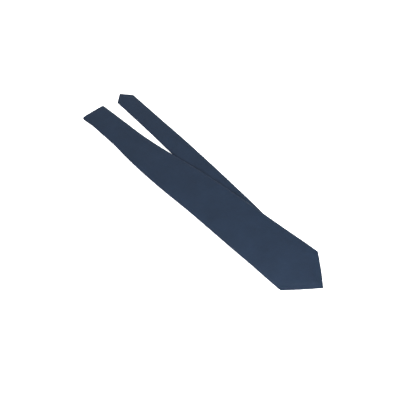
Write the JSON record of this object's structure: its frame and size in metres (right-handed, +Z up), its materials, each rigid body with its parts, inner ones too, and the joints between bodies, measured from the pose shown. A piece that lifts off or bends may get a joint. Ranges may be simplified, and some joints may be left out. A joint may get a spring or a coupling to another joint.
{
  "type": "necktie",
  "caption": "Lined necktie folded in three: pointed wide blade on top, neckband under it and narrow tail beside it, with folds that open out flat.",
  "frame": {"origin": "middle of the bottom of the folded tie's bounding box, on the surface it lies on", "axes": "+X from the upper fold to the wide tip along the front blade, +Y to the tail's side, +Z up out of the front face"},
  "size_m": [0.5434, 0.135, 0.0102],
  "materials": {
    "silk": "fine ribbed navy silk twill, soft satin",
    "wool": "matt brushed interlining",
    "lining": "smooth satin lining",
    "thread": "twisted sewing thread",
    "label": "blank woven damask",
    "care": "blank satin ribbon"
  },
  "bodies": {
    "tail": {"lower_fold_cloth": "silk", "lower_fold_interlining": "wool", "neck_shell_return": "silk", "tail_blade_shell": "silk", "tail_interlining": "wool", "tail_tipping": "lining", "tail_slip_stitch": "thread", "tail_bar_tack": "thread", "tail_join_seam": "thread", "spare_thread_loop": "thread"},
    "neckband": {"upper_fold_cloth": "silk", "upper_fold_interlining": "wool", "front_blade_return": "silk", "neck_shell": "silk", "neck_interlining": "wool", "neck_slip_stitch": "thread", "front_join_seam": "thread"},
    "front_blade": {"front_blade_shell": "silk", "front_interlining": "wool", "front_tipping": "lining", "front_slip_stitch": "thread", "front_bar_tack": "thread", "keeper_loop": "silk", "keeper_right_tack": "thread", "keeper_left_tack": "thread", "maker_label": "label", "label_stitch_1": "thread", "label_stitch_2": "thread", "label_stitch_3": "thread", "label_stitch_4": "thread", "care_label": "care"}
  },
  "joints": [
    {"name": "lower_fold", "type": "hinge", "parent": "tail", "child": "neckband", "pos_m": [0.20045, -0.00765, 0.0031], "axis": [0.078, 0.997, 0], "range_deg": [0, 180], "deforming": ["lower_fold_cloth", "lower_fold_interlining"]},
    {"name": "upper_fold", "type": "hinge", "parent": "neckband", "child": "front_blade", "pos_m": [-0.25931, -0.0225, 0.0043], "axis": [0, -1, 0], "range_deg": [0, 180], "deforming": ["upper_fold_cloth", "upper_fold_interlining"]}
  ]
}
